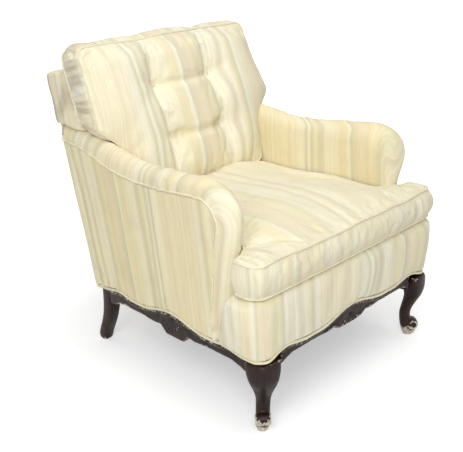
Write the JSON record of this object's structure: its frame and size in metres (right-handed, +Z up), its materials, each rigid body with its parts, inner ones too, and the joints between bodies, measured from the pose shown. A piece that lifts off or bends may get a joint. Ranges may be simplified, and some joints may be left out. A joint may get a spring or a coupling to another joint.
{
  "type": "armchair",
  "caption": "Low upholstered armchair with a boxed T-shaped seat cushion, a tufted back cushion, rolled arms and a carved wood base on cabriole front legs.",
  "frame": {"origin": "centre of the bounding box at floor level, under the feet", "axes": "+Z up, -Y out of the front of the seat, +X towards the sitter's left"},
  "size_m": [0.716, 0.815, 0.8625],
  "materials": {
    "striped_cover": "worn striped woven cover in cream, pale yellow and grey-beige",
    "show_wood": "dark satin varnish, chipped and scuffed at the feet and edges",
    "frame_wood": "bare sawn hardwood",
    "spring_steel": "dull oiled wire",
    "jute": "coarse brown weave",
    "black_cambric": "thin matt black cloth"
  },
  "bodies": {
    "root": {"arm_pad_left": "striped_cover", "arm_pad_right": "striped_cover", "arm_post_left": "frame_wood", "arm_post_right": "frame_wood", "arm_rail_left": "frame_wood", "arm_rail_right": "frame_wood", "arm_welt_left": "striped_cover", "arm_welt_right": "striped_cover", "back_cushion": "striped_cover", "back_post_left": "frame_wood", "back_post_right": "frame_wood", "back_welt_front": "striped_cover", "back_welt_rear": "striped_cover", "crest_rail": "frame_wood", "deck_pad": "striped_cover", "dust_cover": "black_cambric", "front_base_welt": "striped_cover", "front_border": "striped_cover", "front_corner_block_left": "frame_wood", "front_corner_block_right": "frame_wood", "front_leg_left": "show_wood", "front_leg_right": "show_wood", "front_rail": "show_wood", "inside_back": "striped_cover", "lower_back_rail": "frame_wood", "outside_arm_left": "striped_cover", "outside_arm_right": "striped_cover", "outside_back": "striped_cover", "rear_base_welt": "striped_cover", "rear_corner_block_left": "frame_wood", "rear_corner_block_right": "frame_wood", "rear_leg_left": "show_wood", "rear_leg_right": "show_wood", "rear_rail": "frame_wood", "seat_cushion": "striped_cover", "seat_spring_1": "spring_steel", "seat_spring_2": "spring_steel", "seat_spring_3": "spring_steel", "seat_spring_4": "spring_steel", "seat_spring_5": "spring_steel", "seat_spring_6": "spring_steel", "seat_spring_7": "spring_steel", "seat_spring_8": "spring_steel", "seat_spring_9": "spring_steel", "seat_webbing": "jute", "seat_welt_lower": "striped_cover", "seat_welt_upper": "striped_cover", "side_base_welt_left": "striped_cover", "side_base_welt_right": "striped_cover", "side_rail_left": "show_wood", "side_rail_right": "show_wood", "spring_burlap": "jute", "tuft_button_1": "striped_cover", "tuft_button_2": "striped_cover", "tuft_button_3": "striped_cover", "tuft_button_4": "striped_cover"}
  },
  "joints": []
}
